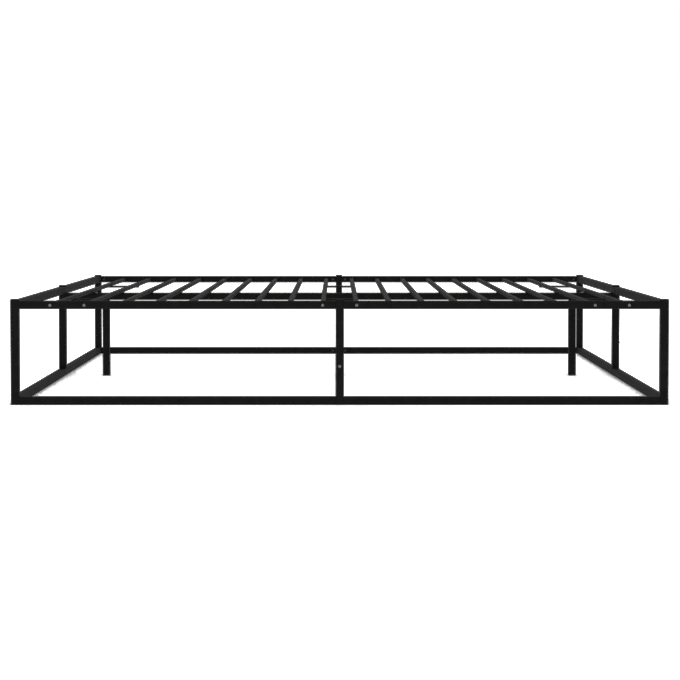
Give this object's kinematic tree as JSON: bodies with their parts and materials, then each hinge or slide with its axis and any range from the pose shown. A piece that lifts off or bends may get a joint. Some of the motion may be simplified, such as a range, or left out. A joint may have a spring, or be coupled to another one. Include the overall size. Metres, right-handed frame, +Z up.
{
  "type": "metal bed frame",
  "caption": "Low bed frame of black square tube: a box with posts at the corners and sides, slats and a centre beam.",
  "frame": {"origin": "centre of the bed's outline, on the floor", "axes": "+Z up; +X along the centre beam, to the right when seen from the front; +Y to the back, along the slats"},
  "size_m": [2.0648, 2.0648, 0.332],
  "materials": {
    "tube": "black powder coat, satin, fine orange peel",
    "slat": "black powder coat, satin",
    "cap": "black moulded plastic, fine grain",
    "plug": "black moulded plastic",
    "holder": "black moulded plastic, fine grain",
    "pad": "black rubber",
    "screw": "zinc plated",
    "dark_screw": "black oxide, satin"
  },
  "bodies": {
    "root": {"corner_post_front_left": "tube", "corner_post_front_right": "tube", "corner_post_back_left": "tube", "corner_post_back_right": "tube", "mid_post_front": "tube", "mid_post_back": "tube", "mid_post_left": "tube", "mid_post_right": "tube", "floor_tee_front": "tube", "floor_tee_back": "tube", "floor_tee_left": "tube", "floor_tee_right": "tube", "top_rail_front_left": "tube", "top_rail_front_right": "tube", "top_rail_back_left": "tube", "top_rail_back_right": "tube", "top_rail_left_front": "tube", "top_rail_left_back": "tube", "top_rail_right_front": "tube", "top_rail_right_back": "tube", "floor_rail_front_left": "tube", "floor_rail_front_right": "tube", "floor_rail_back_left": "tube", "floor_rail_back_right": "tube", "floor_rail_left_front": "tube", "floor_rail_left_back": "tube", "floor_rail_right_front": "tube", "floor_rail_right_back": "tube", "slat_pair_left": "slat", "slat_pair_centre": "slat", "slat_pair_right": "slat", "slat_left_1": "slat", "slat_left_2": "slat", "slat_left_3": "slat", "slat_left_4": "slat", "slat_left_5": "slat", "slat_left_6": "slat", "slat_right_1": "slat", "slat_right_2": "slat", "slat_right_3": "slat", "slat_right_4": "slat", "slat_right_5": "slat", "slat_right_6": "slat", "beam_left": "tube", "beam_right": "tube", "beam_joiner": "tube", "beam_leg_left": "tube", "beam_leg_centre": "tube", "beam_leg_right": "tube", "post_caps": "cap", "foot_plugs": "plug", "slat_holders": "holder", "beam_pads": "pad", "rail_screws": "dark_screw", "slat_screws": "screw", "post_screws": "screw", "beam_screws": "screw"}
  },
  "joints": []
}
